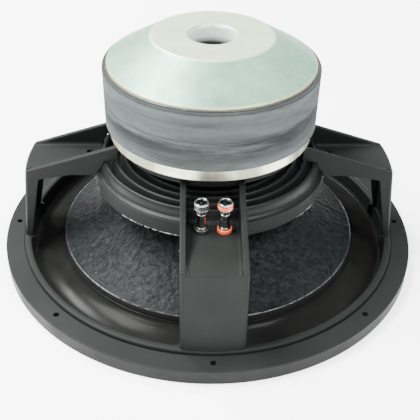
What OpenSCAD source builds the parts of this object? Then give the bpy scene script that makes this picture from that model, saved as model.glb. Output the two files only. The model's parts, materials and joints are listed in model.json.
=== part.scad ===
// Large car subwoofer with a cast four-leg basket and a double ferrite motor.
// It lies on its front: +Z runs from the front of the speaker to the motor.
// The origin is the centre of the flange's front face, and all sizes are millimetres.

/* [Basket] */
// Outer diameter of the flange
frame_d = 460; // [390:1:560]
// Radial width of the flange, from its edge to the cone opening
flange_w = 28.5; // [24:0.5:34]
// Thickness of the flange
flange_t = 17; // [12:0.5:24]
// Height of the raised lip round the cone opening
lip_h = 4; // [2:0.5:7]
// Radial width of the lip
lip_w = 7.8; // [6:0.2:9]
// Diameter of a mounting hole
bolt_d = 6; // [4:0.5:7]
// Number of mounting holes
bolt_count = 8; // [4:4:16]
// Distance from the flange's edge to the hole centres
bolt_inset = 11.5; // [10:0.5:13]
// Number of legs
leg_count = 4; // [3:1:6]
// Width of a leg
leg_w = 63; // [54:1:76]
// Thickness of a leg's side walls
wall_t = 6; // [4:0.5:8]
// Thickness of a leg's outer panel
panel_t = 5.2; // [4:0.2:6]
// Height of a leg's outer corner and of the trough floor
shoulder_z = 105; // [88:1:126]
// Thickness of the trough floor
floor_t = 3.5; // [3:0.5:5]
// Depth of a leg's side wall at the shoulder
web_depth = 9.5; // [7:0.5:16]
// Outer diameter of the ring that the spider is glued to
landing_d = 250; // [208:1:280]
// Height of that ring
landing_h = 16; // [12:1:20]
// Outer diameter of the deck under the motor
deck_d = 194; // [180:1:204]
// Height of the deck's top, where the motor starts, above the trough floor
deck_rise = 39; // [36:1:60]
// Thickness of the deck
deck_t = 12; // [10:0.5:14]

/* [Motor] */
// Outer diameter of the ferrite rings
magnet_d = 220; // [184:1:264]
// Thickness of one ferrite ring
magnet_t = 30.5; // [20:0.5:37]
// Thickness of the front plate
plate_t = 13; // [10:0.5:16]
// Height of the conical back plate
yoke_h = 29; // [24:0.5:35]
// Height of the back plate's upright edge
yoke_rim_h = 3.5; // [2:0.5:6]
// Diameter of the flat top of the back plate
yoke_flat_d = 121; // [100:1:140]
// Diameter of the vent through the pole
vent_d = 47; // [30:1:56]
// Number of screws between the deck and the front plate
deck_screw_count = 8; // [4:1:12]

/* [Moving parts] */
// Diameter of the voice coil's tube, inside
coil_d = 101.6; // [84.6:0.2:122]
// Length of the winding
winding_h = 30; // [20:1:34]
// Radial gap between the winding and the front plate
gap = 1.3; // [0.8:0.1:2]
// Width of the surround, between cone and flange
surround_w = 37; // [30:1:44]
// Height of the cone's upright rim
rim_h = 7.6; // [5:0.2:10]
// Height of the foot of that rim above the front face
rim_z = 12.7; // [12:0.1:16]
// How far below the spider's ring the cone meets the coil's tube
neck_drop = 18; // [16:1:30]
// Thickness of the cone
cone_t = 1.6; // [1.2:0.1:2.5]
// Distance from the coil's tube to the dust cap's edge
dust_cap_w = 19.2; // [16:0.2:24]
// Number of rolls in the spider
spider_rolls = 6; // [4:1:7]
// Height of a roll in the spider, from trough to crest
spider_roll_h = 10; // [6:0.5:11]

/* [Terminals] */
// Distance between the two terminals
terminal_pitch = 22; // [20:1:26]
// Distance from the spider's ring to the terminals
terminal_inset = 6.5; // [6:0.5:9]
// Diameter of a terminal's push cap
cap_d = 14.4; // [13:0.2:16]
// Height of the barrel's top above the trough floor
barrel_h = 21; // [19:0.5:24]
// Travel of a push cap
cap_travel = 4; // [3:0.5:4]

/* [Hidden] */

$fn = 96;
eps = 0.05;          // clearance between pieces that are pressed or glued together
round_n = 6;         // steps in a rounded corner
far = 600;           // longer than anything that is cut

// Basket
frame_r = frame_d / 2;
open_r = frame_r - flange_w;
lip_r = open_r + lip_w;
lip_z = flange_t + lip_h;
edge_r = 1.2;        // rounding of the flange's edges
lip_round = 2.6;     // rounding of the lip
groove = 0.9;        // width and depth of the groove beside the lip
bolt_r = frame_r - bolt_inset;
recess_w = 12.5;     // width of the step that holds the surround's land and the gasket
recess_h = 4.4;
gasket_h = 3;
shoulder_r = open_r - 3.3;
foot_r = open_r + 7;
leg_round = 3;       // rounding of a leg's upright edges
wall_round = 1.4;    // rounding of the outer top edge of a side wall
wall_round_in = 1;   // rounding of its inner top edge
trough_round = 4;    // rounding along the sides of the trough floor
corner_round = 4;    // rounding where a leg's side meets the inside of the lip
deck_r = deck_d / 2;
deck_z = shoulder_z + deck_rise;
deck_floor = deck_z - deck_t;
landing_r = landing_d / 2;
landing_w = 6;
landing_z = shoulder_z + 1;
landing_floor = landing_z - landing_h;
wall_end_z = deck_z - 8;     // where a side wall's top edge meets the deck
spider_room = 2;             // free height between the spider and the side walls
spider_edge_r = landing_r - 2.6;
shoulder_x = sqrt(shoulder_r * shoulder_r - leg_w * leg_w / 4);
foot_x = sqrt(foot_r * foot_r - leg_w * leg_w / 4);
leg_slope = atan((wall_end_z - shoulder_z) / (shoulder_x - deck_r));
leg_lean = atan((foot_r - shoulder_r) / (shoulder_z - flange_t));

// Motor
magnet_r = magnet_d / 2;
plate_r = magnet_r - 3.6;
yoke_r = magnet_r - 4.4;
plate_z = deck_z;
magnet_z = plate_z + plate_t;
seam_z = magnet_z + magnet_t;
yoke_z = seam_z + magnet_t;
top_z = yoke_z + yoke_h;
vent_r = vent_d / 2;
vent_round = 3;

// Moving parts
former_r = coil_d / 2;
former_t = 0.4;
former_out = former_r + former_t;
winding_t = 1.4;
winding_out = former_out + eps + winding_t;
plate_bore_r = winding_out + gap;
magnet_bore_r = plate_bore_r + 6;
pole_r = former_r - 1.2;
sleeve_t = 0.5;
coil_mid = plate_z + plate_t / 2;
winding_z = coil_mid - winding_h / 2;
former_top = winding_z + winding_h + 2.5;
cone_r = open_r - surround_w;
neck_z = landing_z - neck_drop;
rim_top = rim_z + rim_h;
rim_t = 1.8;
rim_foot = 6.5;      // width of the rim's inward foot
cone_sag = 4;        // how far the flared cone lies below a straight one
cone_steps = 16;
land_t = 1.2;        // thickness of the surround
roll_steps = 18;
roll_depth = 5.8;
spider_t = 1;
spider_land = 5;     // width of the spider's glued edge
spider_collar = 3;
spider_mid = landing_z + spider_t + spider_roll_h / 2;
roll_points = 8;     // outline points in one roll of the spider
dust_cap_r = former_r + dust_cap_w;
dust_cap_rise = 20;
dust_cap_t = 1.2;
glue_gap = 0.45;     // room for the coil leads under the dust cap's edge
lead_w = 3;
lead_t = 0.3;
eyelet_xy = [31, -100];      // one eyelet on the cone, and the other is mirrored in X
eyelet_r = norm(eyelet_xy);
eyelet_shank_r = 1.5;
eyelet_head_r = 3;

// Deck screws
screw_r = 3;
screw_head_r = 5;
screw_head_h = 5.5;
screw_reach = 10;    // length of thread in the front plate
screw_hex_r = 2.9;
screw_ring_r = (deck_r + magnet_bore_r) / 2;
deck_bore_r = magnet_bore_r + 2;

// Terminals, all heights above the trough floor
term_x = terminal_pitch / 2;
terminal_r = landing_r + terminal_inset;
stud_r = 2.5;
stud_hole_r = 4;
base_h = 4;
base_r = cap_d / 2;
barrel_r = 4.75;
barrel_bore_r = 3.15;
barrel_flange_r = 6;
plunger_r = 3.1;
plunger_len = 12.5;
cap_gap = 4.5;       // from the barrel to the cap at rest
cap_h = 8.5;
band_h = 3.4;
band_depth = 1;
wire_hole_r = 1.5;
wire_hole_z = barrel_h - 5;
spring_r = 2.5;
spring_wire_r = 0.3;
spring_turns = 4;
insulator_t = 2.5;
tab_t = 0.8;
nut_h = 4;
nut_r = 4.6;
tab_drop = 10;
barrel_floor = base_h + 2;
spring_top = barrel_h + cap_gap - plunger_len;

// Height of the cone's rear face at a radius
function cone_share(r) = (cone_r - r) / (cone_r - former_out);
function cone_z(r) = rim_top + (neck_z - rim_top) * cone_share(r)
    - 4 * cone_sag * cone_share(r) * (1 - cone_share(r));

// Tinsel lead: route from a solder tab to the eyelet on the cone, for the side at +X
lead_r = 1.1;
lead_sides = 8;
lead_steps = 4;
eyelet_seat = cone_z(eyelet_r - eyelet_head_r) + eps;
eyelet_top = eyelet_seat + 1.2;
lead_route = [[11, -142.7, 93], [11.5, -142.7, 84], [15, -138, 74], [22, -125, 69], [28, -109, 68],
    [31, -101, 63], [31, -100, 59], [31, -100, eyelet_top + eps]];

// Points of an arc round a centre, from one angle to another
function arc(cx, cy, r, from, to, n = round_n) =
    [for (i = [0:n]) let (a = from + (to - from) * i / n) [cx + r * cos(a), cy + r * sin(a)]];

// Outline of a rectangle with all corners rounded
function round_rect(x0, y0, x1, y1, r) = concat(
    arc(x1 - r, y0 + r, r, -90, 0), arc(x1 - r, y1 - r, r, 0, 90),
    arc(x0 + r, y1 - r, r, 90, 180), arc(x0 + r, y0 + r, r, 180, 270));

// Smooth curve through a list of points
function spline_point(p0, p1, p2, p3, t) = 0.5 * (2 * p1 + (p2 - p0) * t
    + (2 * p0 - 5 * p1 + 4 * p2 - p3) * t * t + (3 * p1 - p0 - 3 * p2 + p3) * t * t * t);
function spline(p, steps) = let (n = len(p) - 1) concat(
    [for (i = [0:n - 1]) for (s = [0:steps - 1])
        spline_point(p[max(i - 1, 0)], p[i], p[i + 1], p[min(i + 2, n)], s / steps)], [p[n]]);

// A tube swept along a path; side is a direction that the path never takes
module tube(path, r, sides, side) {
    n = len(path);
    points = [for (i = [0:n - 1]) let (
            along = path[min(i + 1, n - 1)] - path[max(i - 1, 0)],
            u = cross(along, side) / norm(cross(along, side)),
            v = cross(along, u) / norm(cross(along, u)))
        for (k = [0:sides - 1]) path[i] + r * (u * cos(360 * k / sides) + v * sin(360 * k / sides))];
    skin = [for (i = [0:n - 2]) for (k = [0:sides - 1]) for (half = [0, 1])
        let (a = i * sides + k, b = i * sides + (k + 1) % sides)
        half == 0 ? [a, b, b + sides] : [a, b + sides, a + sides]];
    cap_start = [for (k = [0:sides - 1]) sides - 1 - k];
    cap_end = [for (k = [0:sides - 1]) (n - 1) * sides + k];
    polyhedron(points = points, faces = concat([cap_start], skin, [cap_end]));
}

module ring(r_in, r_out, z0, z1, r_edge = 0.5) {
    rotate_extrude() polygon(round_rect(r_in, z0, r_out, z1, r_edge));
}

// Places a child at each of a number of equal angles
module around(count, r, start = 0) {
    for (i = [0:count - 1]) rotate([0, 0, start + 360 * i / count]) translate([r, 0, 0]) children();
}

// Outline of what is cut away from a square corner to round it
module corner_waste(r) {
    difference() {
        translate([-r, -r]) square(r + 1);
        translate([-r, -r]) circle(r);
    }
}

// ---- Basket ----

module flange() {
    difference() {
        rotate_extrude() polygon(concat(
            [[open_r + recess_w, 0]],
            arc(frame_r - edge_r, edge_r, edge_r, -90, 0),
            arc(frame_r - edge_r, flange_t - edge_r, edge_r, 0, 90),
            [[lip_r + groove, flange_t], [lip_r + groove, flange_t - groove], [lip_r, flange_t - groove]],
            arc(lip_r - lip_round, lip_z - lip_round, lip_round, 0, 90),
            arc(open_r + lip_round, lip_z - lip_round, lip_round, 90, 180),
            [[open_r, recess_h], [open_r + recess_w, recess_h]]));
        around(bolt_count, bolt_r) translate([0, 0, -1]) cylinder(d = bolt_d, h = flange_t + 2);
    }
}

// One leg along +X: two side walls, an outer panel and a trough floor
module leg() {
    half_w = leg_w / 2;
    inner_w = half_w - wall_t;
    wall_end_x = sqrt(deck_r * deck_r - half_w * half_w) - 4;
    wall_top_z = shoulder_z + (shoulder_x - wall_end_x) * tan(leg_slope);
    web_in_r = shoulder_r - 15;
    web_foot_r = open_r - 1.5;
    room_z = landing_z + spider_t + spider_roll_h + spider_room;
    room_r = spider_edge_r + 0.4;
    room_step_z = landing_z + spider_t + 1.2;
    ring_in_r = landing_r - landing_w - 1;
    flat_r = landing_r + 25;
    side = [
        [foot_r + 10, shoulder_z], [shoulder_x, shoulder_z], [wall_end_x, wall_top_z],
        [wall_end_x, deck_floor + 2], [deck_r, deck_floor - 1], [deck_r, landing_z],
        [landing_r - 4, landing_z], [landing_r - 4, shoulder_z - floor_t],
        [flat_r, shoulder_z - floor_t], [web_in_r, shoulder_z - web_depth],
        [web_foot_r, flange_t - 2], [open_r + 0.1, recess_h + 4], [foot_r + 10, recess_h + 4]];
    difference() {
        intersection() {
            rotate([90, 0, 0]) translate([0, 0, -half_w]) linear_extrude(leg_w) polygon(side);
            rotate_extrude() polygon([
                [0, 0], [foot_r + (flange_t - recess_h) * tan(leg_lean), recess_h],
                [shoulder_r + 1.5 * tan(leg_lean), shoulder_z - 1.5], [shoulder_r - 1.5, shoulder_z],
                [shoulder_r - 1.5, deck_z], [0, deck_z]]);
        }
        // The trough, open at the back
        translate([0, 0, shoulder_z]) rotate([90, 0, 90]) linear_extrude(far) {
            translate([-inner_w, trough_round]) square([2 * inner_w, far]);
            translate([trough_round - inner_w, 0]) square([2 * (inner_w - trough_round), far]);
            for (s = [-1, 1]) translate([s * (inner_w - trough_round), trough_round])
                circle(trough_round);
        }
        // Room for the spider and its stroke
        rotate_extrude() polygon([
            [0, landing_z - 5], [ring_in_r, landing_z - 5], [ring_in_r, landing_z],
            [room_r, landing_z], [room_r, room_step_z], [room_r - 1.6, room_step_z],
            [room_r - 6.5, room_z], [landing_r - 25, room_z + 1.5], [0, room_z + 1.5]]);
        // The hollow under the trough floor, behind the outer panel
        intersection() {
            translate([0, -inner_w, -1]) cube([far, 2 * inner_w, far]);
            rotate_extrude() polygon([
                [landing_r - 1, recess_h + 1], [open_r, recess_h + 1], [open_r, flange_t],
                [foot_r - panel_t, flange_t],
                [shoulder_r - panel_t + floor_t * tan(leg_lean), shoulder_z - floor_t],
                [landing_r - 1, shoulder_z - floor_t]]);
        }
        for (m = [0, 1]) mirror([0, m, 0]) {
            translate([foot_x, half_w, flange_t]) rotate([0, -leg_lean, 0])
                translate([0, 0, -flange_t / 2]) linear_extrude(shoulder_z) corner_waste(leg_round);
            translate([shoulder_x, half_w, shoulder_z]) rotate([0, leg_slope - 180, 0])
                mirror([0, 0, 1]) rotate([90, 0, 90]) linear_extrude(frame_r) corner_waste(wall_round);
            translate([shoulder_x, inner_w, shoulder_z]) rotate([0, leg_slope - 180, 0])
                mirror([0, 0, 1]) mirror([0, 1, 0])
                rotate([90, 0, 90]) linear_extrude(frame_r) corner_waste(wall_round_in);
        }
    }
}

// Fills the corner between a leg's side and the inside of the lip with a rounded one
module window_corner() {
    half_w = leg_w / 2;
    y = half_w + corner_round;
    x = sqrt(pow(open_r - corner_round, 2) - y * y);
    touch = [x, y] * open_r / (open_r - corner_round);
    translate([0, 0, recess_h + 1]) linear_extrude(lip_z - recess_h - 2) difference() {
        polygon([[x, half_w - 1], [touch.x + 1.5, half_w - 1], [touch.x + 1.5, touch.y], touch, [x, y]]);
        translate([x, y]) circle(corner_round);
    }
}

module basket() {
    color([0.2, 0.2, 0.2]) difference() {
        union() {
            flange();
            around(leg_count, 0, -90) {
                leg();
                for (m = [0, 1]) mirror([0, m, 0]) window_corner();
            }
            ring(landing_r - landing_w, landing_r, landing_floor, landing_z, 0.8);
            ring(deck_bore_r, deck_r, deck_floor, deck_z, 1);
        }
        around(leg_count, terminal_r, -90) for (y = [-1, 1])
            translate([0, y * term_x, shoulder_z - floor_t - 1]) cylinder(r = stud_hole_r, h = floor_t + 2);
        around(deck_screw_count, screw_ring_r, 180 / deck_screw_count) {
            translate([0, 0, deck_floor - 1]) cylinder(r = screw_r + 0.3, h = deck_t + 2);
            translate([0, 0, deck_floor - 1]) cylinder(r = screw_head_r + 0.5, h = screw_head_h + 1.5);
        }
    }
}

module gasket() {
    color([0.1, 0.1, 0.1]) ring(open_r + 0.5, open_r + recess_w - 0.5, 0, gasket_h - eps, 0.6);
}

// ---- Cone assembly ----

// Height of the surround's rear face at a share of its width
function roll_z(t) = (rim_z - land_t / 2) * (1 - t) + (recess_h - land_t / 4) * t
    - roll_depth * sqrt(1 - (2 * t - 1) * (2 * t - 1));

module surround() {
    inner = cone_r + 0.8;
    outer = open_r - 1;
    rear = [for (i = [1:roll_steps - 1]) let (t = i / roll_steps) [inner + (outer - inner) * t, roll_z(t)]];
    front = [for (i = [roll_steps - 1:-1:1]) let (t = i / roll_steps)
        [inner + (outer - inner) * t, roll_z(t) - land_t]];
    color([0.12, 0.11, 0.11]) rotate_extrude() polygon(concat(
        [[cone_r - rim_foot, rim_z - eps - land_t], [cone_r - rim_foot, rim_z - eps], [inner, rim_z - eps]],
        rear, [[outer, recess_h - eps], [open_r + recess_w - 0.5, recess_h - eps],
        [open_r + recess_w - 0.5, gasket_h], [outer, gasket_h]],
        front, [[inner, rim_z - eps - land_t]]));
}

module cone() {
    span = cone_r - former_out - eps;
    rear = [for (i = [0:cone_steps]) let (r = former_out + eps + span * i / cone_steps) [r, cone_z(r)]];
    front = [for (i = [cone_steps:-1:0]) let (r = former_out + eps + (span - rim_t) * i / cone_steps)
        [r, cone_z(r) - cone_t]];
    color([0.22, 0.23, 0.25]) difference() {
        rotate_extrude() polygon(concat(
            rear, [[cone_r, rim_z], [cone_r - rim_foot, rim_z], [cone_r - rim_foot, rim_z + cone_t],
            [cone_r - rim_t, rim_z + cone_t]], front));
        for (s = [-1, 1]) translate([s * eyelet_xy.x, eyelet_xy.y, 0])
            cylinder(r = eyelet_shank_r + eps, h = neck_z);
    }
}

module dust_cap() {
    sphere_r = (dust_cap_r * dust_cap_r + dust_cap_rise * dust_cap_rise) / (2 * dust_cap_rise);
    half_angle = asin(dust_cap_r / sphere_r);
    edge_in_r = dust_cap_r - dust_cap_t * sin(half_angle);
    edge_z = cone_z(edge_in_r) - cone_t - glue_gap - dust_cap_t * cos(half_angle);
    centre_z = edge_z + sphere_r - dust_cap_rise;
    color([0.12, 0.12, 0.13]) rotate_extrude() polygon(concat(
        arc(0, centre_z, sphere_r, -90, -90 + half_angle, 12),
        arc(0, centre_z, sphere_r - dust_cap_t, -90 + half_angle, -90, 12)));
}

module cone_eyelets() {
    foot_z = cone_z(eyelet_r + eyelet_head_r) - cone_t - lead_t - 1;
    color([0.85, 0.85, 0.82]) for (s = [-1, 1]) translate([s * eyelet_xy.x, eyelet_xy.y, 0]) {
        translate([0, 0, foot_z]) cylinder(r = eyelet_shank_r, h = eyelet_seat - foot_z + 0.5);
        translate([0, 0, eyelet_seat]) cylinder(r = eyelet_head_r, h = eyelet_top - eyelet_seat);
        translate([0, 0, foot_z - 1]) cylinder(r = eyelet_head_r, h = 1);
    }
}

module spider() {
    inner = former_out + eps + spider_collar;
    outer = landing_r - spider_land;
    steps = spider_rolls * roll_points;
    wave = [for (i = [0:steps]) let (t = i / steps)
        [inner + (outer - inner) * t, spider_mid - spider_roll_h / 2 * cos(360 * spider_rolls * t)]];
    rear = [for (p = wave) p + [0, spider_t / 2]];
    front = [for (i = [steps:-1:0]) wave[i] - [0, spider_t / 2]];
    color([0.11, 0.11, 0.11]) rotate_extrude() polygon(concat(
        [[former_out + eps, spider_mid - spider_roll_h / 2 + spider_t + 1]], rear,
        [[spider_edge_r, landing_z + spider_t + eps], [spider_edge_r, landing_z + eps]], front,
        [[former_out + eps, spider_mid - spider_roll_h / 2 - spider_t - 1]]));
}

module former() {
    start_z = cone_z(former_out) - cone_t;
    color([0.45, 0.36, 0.2]) rotate_extrude()
        polygon([[former_r, start_z], [former_out, start_z], [former_out, former_top], [former_r, former_top]]);
}

module winding() {
    color([0.62, 0.33, 0.16]) ring(former_out + eps, winding_out, winding_z, winding_z + winding_h, 0.3);
}

// Flat leads from the winding down the former, then along the cone's front face to the eyelets
module coil_leads() {
    start_z = cone_z(former_out) - cone_t;
    end_r = eyelet_r - eyelet_shank_r - 0.3;
    bare = former_r - eps;
    face = [for (i = [1:cone_steps]) let (r = bare + (end_r - bare) * i / cone_steps)
        [r, cone_z(r) - cone_t - eps]];
    back = [for (i = [cone_steps:-1:1]) let (r = bare + (end_r - bare) * i / cone_steps)
        [r, cone_z(r) - cone_t - eps - lead_t]];
    color([0.72, 0.45, 0.25]) for (s = [0, 1]) mirror([s, 0, 0])
        rotate([0, 0, atan2(eyelet_xy.y, eyelet_xy.x)]) rotate([90, 0, 0])
        translate([0, 0, -lead_w / 2]) linear_extrude(lead_w) polygon(concat(
            [[bare - lead_t, start_z - lead_t - 1], [bare - lead_t, winding_z], [bare, winding_z],
            [bare, start_z - eps]], face, back));
}

// ---- Motor ----

module front_plate() {
    color([0.82, 0.82, 0.76]) difference() {
        ring(plate_bore_r, plate_r, plate_z, magnet_z, 0.8);
        around(deck_screw_count, screw_ring_r, 180 / deck_screw_count)
            translate([0, 0, plate_z - 1]) cylinder(r = screw_r + eps, h = screw_reach + 2);
    }
}

module magnet_ring(z) {
    color([0.38, 0.39, 0.4]) ring(magnet_bore_r, magnet_r, z, z + magnet_t, 1.2);
}

module magnet_front() {
    magnet_ring(magnet_z);
}

module magnet_rear() {
    magnet_ring(seam_z);
}

module pole_yoke() {
    color([0.8, 0.84, 0.81]) rotate_extrude() polygon(concat(
        [[vent_r, plate_z - 3], [pole_r - 1, plate_z - 3], [pole_r, plate_z - 2], [pole_r, yoke_z]],
        [[yoke_r - 0.5, yoke_z], [yoke_r, yoke_z + 0.5], [yoke_r, yoke_z + yoke_rim_h - 0.8],
        [yoke_r - 0.8, yoke_z + yoke_rim_h]],
        [[yoke_flat_d / 2 + 1.6, top_z - 0.9], [yoke_flat_d / 2, top_z - 0.2], [yoke_flat_d / 2 - 1.5, top_z]],
        arc(vent_r + vent_round, top_z - vent_round, vent_round, 90, 180)));
}

module pole_sleeve() {
    color([0.72, 0.42, 0.28]) rotate_extrude() polygon([[pole_r + eps, plate_z - 1],
        [pole_r + sleeve_t, plate_z - 1], [pole_r + sleeve_t, magnet_z + 1], [pole_r + eps, magnet_z + 1]]);
}

module shorting_ring() {
    color([0.8, 0.8, 0.8]) ring(pole_r + eps, magnet_bore_r - 2, yoke_z - 12, yoke_z - eps, 0.5);
}

module vent_screen() {
    hole_pitch = 6;
    rows = floor((vent_r - 4) / hole_pitch);
    color([0.15, 0.15, 0.15]) translate([0, 0, plate_z]) difference() {
        cylinder(r = vent_r - eps, h = 0.8);
        for (i = [-rows:rows]) for (j = [-rows:rows])
            if (norm([i, j]) * hole_pitch < vent_r - 4)
                translate([i * hole_pitch, j * hole_pitch, -1]) cylinder(d = 4, h = 3);
    }
}

module deck_screws() {
    seat_z = deck_floor + screw_head_h + 0.5;
    color([0.3, 0.3, 0.3]) around(deck_screw_count, screw_ring_r, 180 / deck_screw_count) difference() {
        union() {
            translate([0, 0, seat_z - screw_head_h]) cylinder(r = screw_head_r, h = screw_head_h);
            translate([0, 0, seat_z]) cylinder(r = screw_r, h = plate_z + screw_reach - seat_z);
        }
        translate([0, 0, seat_z - screw_head_h - 1]) cylinder(r = screw_hex_r, h = 4, $fn = 6);
    }
}

// ---- Terminals ----

// Places a child at one terminal, on the trough floor of the front leg; side is 1 or -1
module at_terminal(side) {
    translate([side * term_x, -terminal_r, shoulder_z]) children();
}

module terminal_base(side) {
    at_terminal(side) difference() {
        union() {
            ring(stud_r + eps, base_r, eps, base_h, 0.6);
            translate([0, 0, -floor_t]) cylinder(r = stud_hole_r - 0.1, h = floor_t + 1);
        }
        translate([0, 0, -floor_t - 1]) cylinder(r = stud_r + eps, h = far / 10);
    }
}

module terminal_base_pos() {
    color([0.9, 0.25, 0.15]) terminal_base(1);
}

module terminal_base_neg() {
    color([0.08, 0.08, 0.08]) terminal_base(-1);
}

module terminal_barrel(side) {
    stud_len = floor_t + insulator_t + tab_t + nut_h + 1.5;
    color([0.75, 0.75, 0.72]) at_terminal(side) difference() {
        union() {
            translate([0, 0, -stud_len]) cylinder(r = stud_r, h = stud_len + base_h + 0.5);
            translate([0, 0, base_h + eps]) cylinder(r = barrel_flange_r, h = 1.5);
            rotate_extrude() polygon(concat(
                [[0, base_h + 0.5], [barrel_r, base_h + 0.5]],
                arc(barrel_r - 0.7, barrel_h - 0.7, 0.7, 0, 90), [[0, barrel_h]]));
        }
        translate([0, 0, barrel_floor]) cylinder(r = barrel_bore_r, h = barrel_h);
        translate([0, 0, wire_hole_z]) rotate([90, 0, 0]) translate([0, 0, -barrel_r - 1])
            cylinder(r = wire_hole_r + 0.2, h = 2 * barrel_r + 2);
    }
}

module terminal_barrel_pos() {
    terminal_barrel(1);
}

module terminal_barrel_neg() {
    terminal_barrel(-1);
}

// Push cap with its plunger; the wire holes line up when it is pressed
module terminal_cap(side) {
    cap_r = cap_d / 2;
    foot = barrel_h + cap_gap;
    band_z = foot + 2.2;
    color([0.82, 0.82, 0.8]) at_terminal(side) difference() {
        union() {
            rotate_extrude() polygon(concat(
                [[0, foot], [cap_r - 1.6, foot]], arc(cap_r - 1.3, foot + 1, 1, -90, 0),
                [[cap_r - 0.3, band_z], [cap_r - band_depth, band_z], [cap_r - band_depth, band_z + band_h],
                [cap_r, band_z + band_h]],
                arc(cap_r - 0.8, foot + cap_h - 0.8, 0.8, 0, 90),
                [[cap_r - 1.6, foot + cap_h], [cap_r - 2.2, foot + cap_h - 0.9], [0, foot + cap_h - 1.1]]));
            translate([0, 0, foot - plunger_len]) cylinder(r = plunger_r, h = plunger_len + 1);
        }
        translate([0, 0, wire_hole_z + cap_travel]) rotate([90, 0, 0]) translate([0, 0, -plunger_r - 1])
            cylinder(r = wire_hole_r, h = 2 * plunger_r + 2);
    }
}

module terminal_cap_pos() {
    terminal_cap(1);
}

module terminal_cap_neg() {
    terminal_cap(-1);
}

module cap_band(side) {
    band_z = barrel_h + cap_gap + 2.2;
    at_terminal(side)
        ring(cap_d / 2 - band_depth + eps, cap_d / 2 + 0.1, band_z + eps, band_z + band_h - eps, 0.3);
}

module cap_band_pos() {
    color([0.85, 0.15, 0.15]) cap_band(1);
}

module cap_band_neg() {
    color([0.08, 0.08, 0.08]) cap_band(-1);
}

module terminal_spring(side) {
    low = barrel_floor + spring_wire_r + eps;
    rise = spring_top - spring_wire_r - eps - low;
    steps = 12 * spring_turns;
    color([0.6, 0.6, 0.6]) at_terminal(side) tube([for (i = [0:steps])
        [spring_r * cos(30 * i), spring_r * sin(30 * i), low + rise * i / steps]],
        spring_wire_r, 6, [0, 0, 1]);
}

module terminal_spring_pos() {
    terminal_spring(1);
}

module terminal_spring_neg() {
    terminal_spring(-1);
}

module terminal_insulators() {
    color([0.75, 0.7, 0.6]) for (side = [-1, 1]) at_terminal(side)
        ring(stud_r + eps, base_r - 0.7, -floor_t - insulator_t, -floor_t - eps, 0.4);
}

module terminal_tabs() {
    top = -floor_t - insulator_t - eps;
    tail = 10;
    color([0.8, 0.78, 0.7]) for (side = [-1, 1]) at_terminal(side) difference() {
        union() {
            translate([0, 0, top - tab_t]) cylinder(r = 5.3, h = tab_t);
            translate([-2, -tail, top - tab_t]) cube([4, tail, tab_t]);
            translate([-2, -tail, top - tab_drop]) cube([4, tab_t, tab_drop]);
        }
        translate([0, 0, top - tab_t - 1]) cylinder(r = stud_r + eps, h = tab_t + 2);
    }
}

module terminal_nuts() {
    top = -floor_t - insulator_t - tab_t - 2 * eps;
    color([0.7, 0.7, 0.7]) for (side = [-1, 1]) at_terminal(side) difference() {
        translate([0, 0, top - nut_h]) cylinder(r = nut_r, h = nut_h, $fn = 6);
        translate([0, 0, top - nut_h - 1]) cylinder(r = stud_r + eps, h = nut_h + 2);
    }
}

module tinsel_lead() {
    color([0.35, 0.28, 0.22]) tube(spline(lead_route, lead_steps), lead_r, lead_sides, [1, 0, 0]);
}

module tinsel_lead_pos() {
    tinsel_lead();
}

module tinsel_lead_neg() {
    mirror([1, 0, 0]) tinsel_lead();
}

basket();
gasket();
surround();
cone();
dust_cap();
cone_eyelets();
spider();
former();
winding();
coil_leads();
front_plate();
magnet_front();
magnet_rear();
pole_yoke();
pole_sleeve();
shorting_ring();
vent_screen();
deck_screws();
terminal_base_pos();
terminal_base_neg();
terminal_barrel_pos();
terminal_barrel_neg();
terminal_cap_pos();
terminal_cap_neg();
cap_band_pos();
cap_band_neg();
terminal_spring_pos();
terminal_spring_neg();
terminal_insulators();
terminal_tabs();
terminal_nuts();
tinsel_lead_pos();
tinsel_lead_neg();
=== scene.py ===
import json
import math

import bmesh
import bpy
import numpy as np
from mathutils import Matrix, Vector


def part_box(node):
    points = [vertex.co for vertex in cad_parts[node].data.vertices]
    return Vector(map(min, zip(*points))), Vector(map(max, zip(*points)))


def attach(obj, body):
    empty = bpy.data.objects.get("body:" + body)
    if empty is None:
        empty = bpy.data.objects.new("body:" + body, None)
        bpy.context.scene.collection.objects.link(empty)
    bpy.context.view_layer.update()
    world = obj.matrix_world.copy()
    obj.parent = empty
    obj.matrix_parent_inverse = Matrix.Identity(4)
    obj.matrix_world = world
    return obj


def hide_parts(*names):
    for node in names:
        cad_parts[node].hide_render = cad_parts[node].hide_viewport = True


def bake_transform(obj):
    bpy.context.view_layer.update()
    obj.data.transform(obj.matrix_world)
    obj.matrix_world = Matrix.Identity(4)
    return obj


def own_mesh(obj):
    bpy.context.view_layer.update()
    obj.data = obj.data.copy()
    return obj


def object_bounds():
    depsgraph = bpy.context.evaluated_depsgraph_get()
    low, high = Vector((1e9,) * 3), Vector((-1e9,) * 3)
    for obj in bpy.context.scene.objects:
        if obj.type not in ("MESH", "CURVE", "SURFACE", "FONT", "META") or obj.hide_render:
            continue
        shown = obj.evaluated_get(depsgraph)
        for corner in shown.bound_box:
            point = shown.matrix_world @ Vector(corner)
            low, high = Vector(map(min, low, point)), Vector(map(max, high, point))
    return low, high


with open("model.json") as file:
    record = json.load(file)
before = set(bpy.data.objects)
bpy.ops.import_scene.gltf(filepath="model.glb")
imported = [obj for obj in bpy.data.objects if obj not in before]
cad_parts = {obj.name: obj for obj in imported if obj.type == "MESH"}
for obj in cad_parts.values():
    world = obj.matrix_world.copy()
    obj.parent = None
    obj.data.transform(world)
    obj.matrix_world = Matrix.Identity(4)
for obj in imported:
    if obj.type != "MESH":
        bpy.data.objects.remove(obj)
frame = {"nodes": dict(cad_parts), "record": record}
cad_low, cad_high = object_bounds()
nodes = frame["nodes"]

# All shapes below are worked out in millimetres and put into the meshes in metres.
MM = 0.001
TURN = 2 * math.pi

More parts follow.
